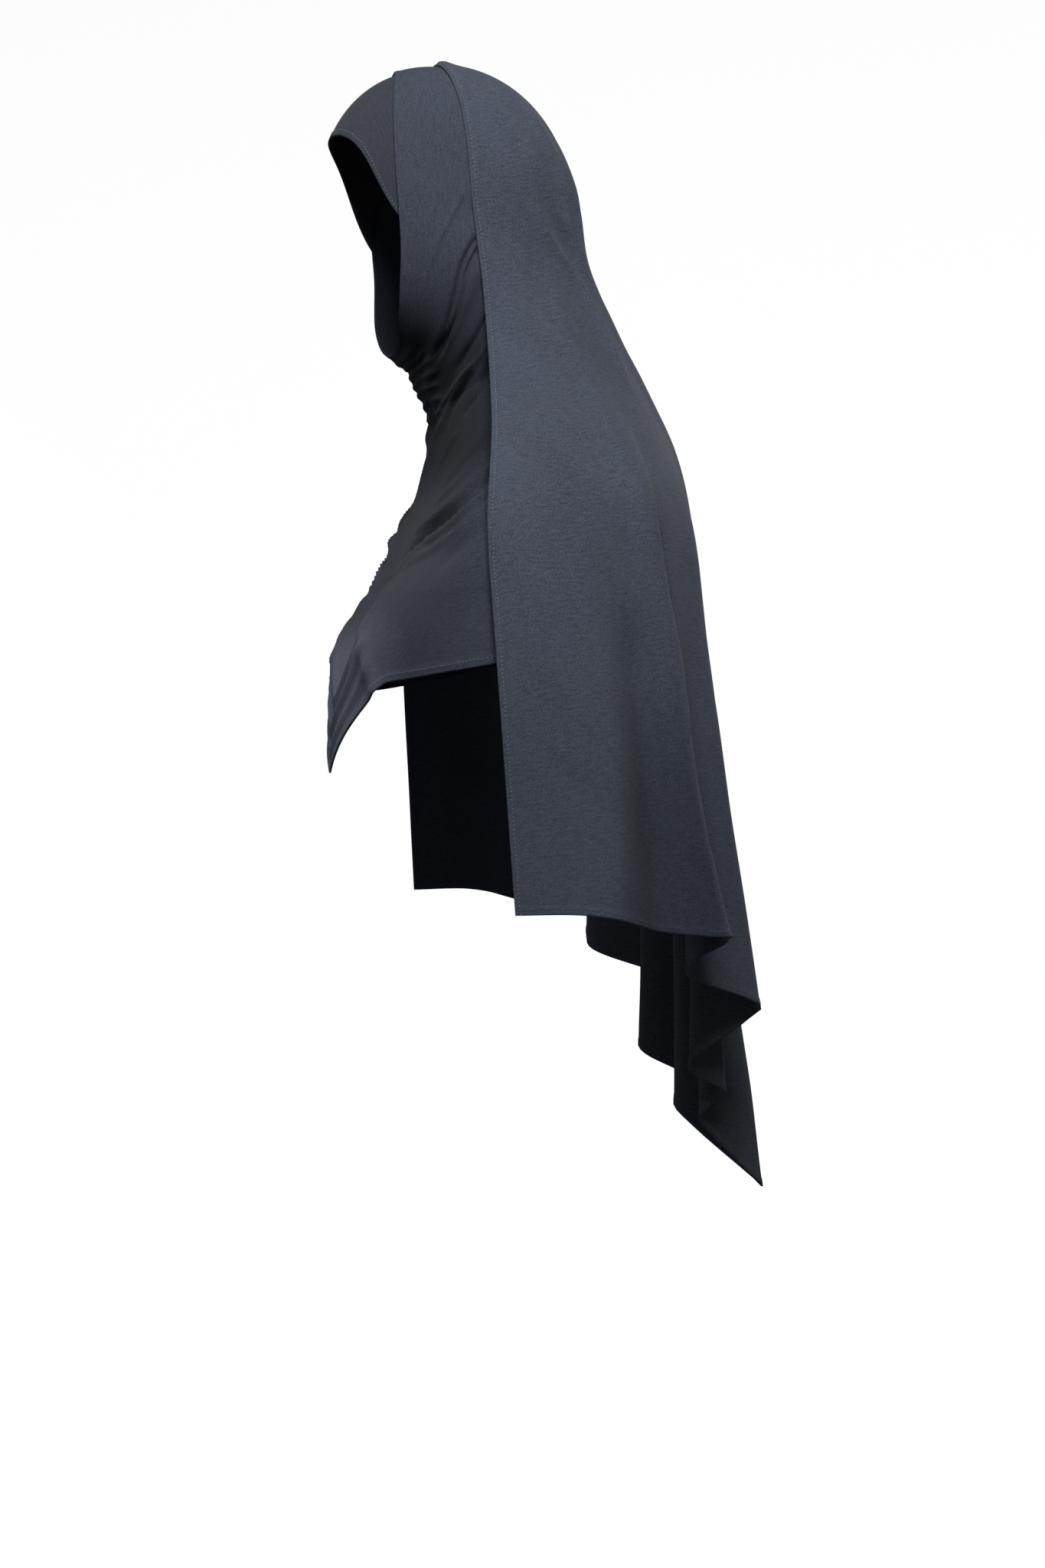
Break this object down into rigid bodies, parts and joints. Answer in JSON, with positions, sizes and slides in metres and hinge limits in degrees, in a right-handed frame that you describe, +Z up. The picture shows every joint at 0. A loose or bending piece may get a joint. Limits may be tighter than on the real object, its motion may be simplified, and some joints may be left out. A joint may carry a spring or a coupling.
{
  "type": "jersey hijab",
  "caption": "Head covering of jersey cloth in its worn form: a close cap, a neck wrap with a pointed bib, and a long shawl that falls from the crown over the shoulders in flutes.",
  "frame": {"origin": "the underside of the cap at the crown, on the middle plane, where the hijab sits on a head", "axes": "+Z up, -Y the way the face looks, +X the wearer's left"},
  "size_m": [0.472, 0.3674, 0.9268],
  "materials": {
    "cap_jersey": "matte slate jersey knit",
    "wrap_jersey": "matte slate jersey knit",
    "shawl_jersey": "matte slate jersey knit, finely heathered"
  },
  "bodies": {
    "root": {"under_cap": "cap_jersey", "neck_wrap": "wrap_jersey", "outer_shawl": "shawl_jersey"}
  },
  "joints": []
}
